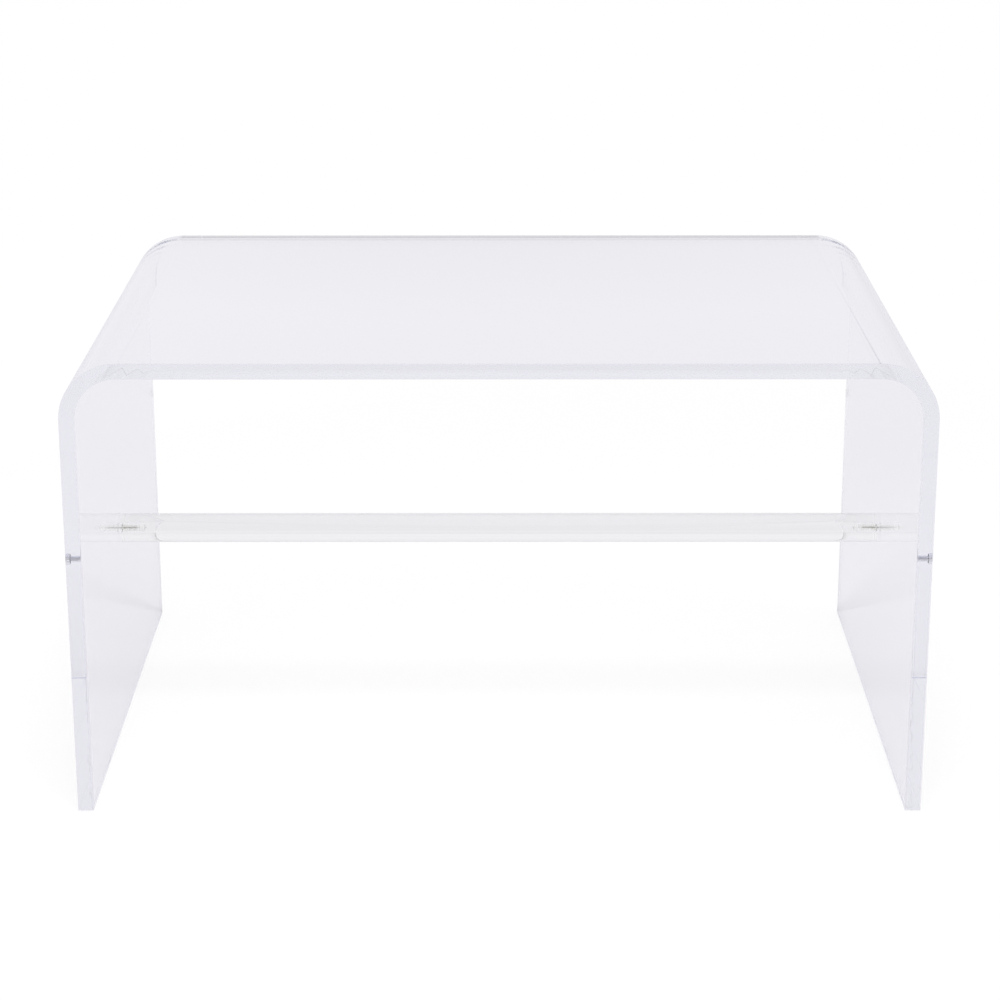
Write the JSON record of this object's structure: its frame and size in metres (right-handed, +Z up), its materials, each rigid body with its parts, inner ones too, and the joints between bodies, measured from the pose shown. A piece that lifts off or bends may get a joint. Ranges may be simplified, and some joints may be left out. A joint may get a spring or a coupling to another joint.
{
  "type": "waterfall coffee table",
  "caption": "Clear acrylic coffee table bent from one sheet into a top and two side panels, tied by a round stretcher rod screwed on through each panel.",
  "frame": {"origin": "on the floor, under the middle of the table", "axes": "+X to the right along the width, +Y to the back, +Z up"},
  "size_m": [0.813, 0.508, 0.45],
  "materials": {
    "clear_acrylic": "polished",
    "screw_steel": "satin"
  },
  "bodies": {
    "root": {"waterfall_sheet": "clear_acrylic", "stretcher_rod": "clear_acrylic", "left_cap_screw": "screw_steel", "right_cap_screw": "screw_steel"}
  },
  "joints": []
}
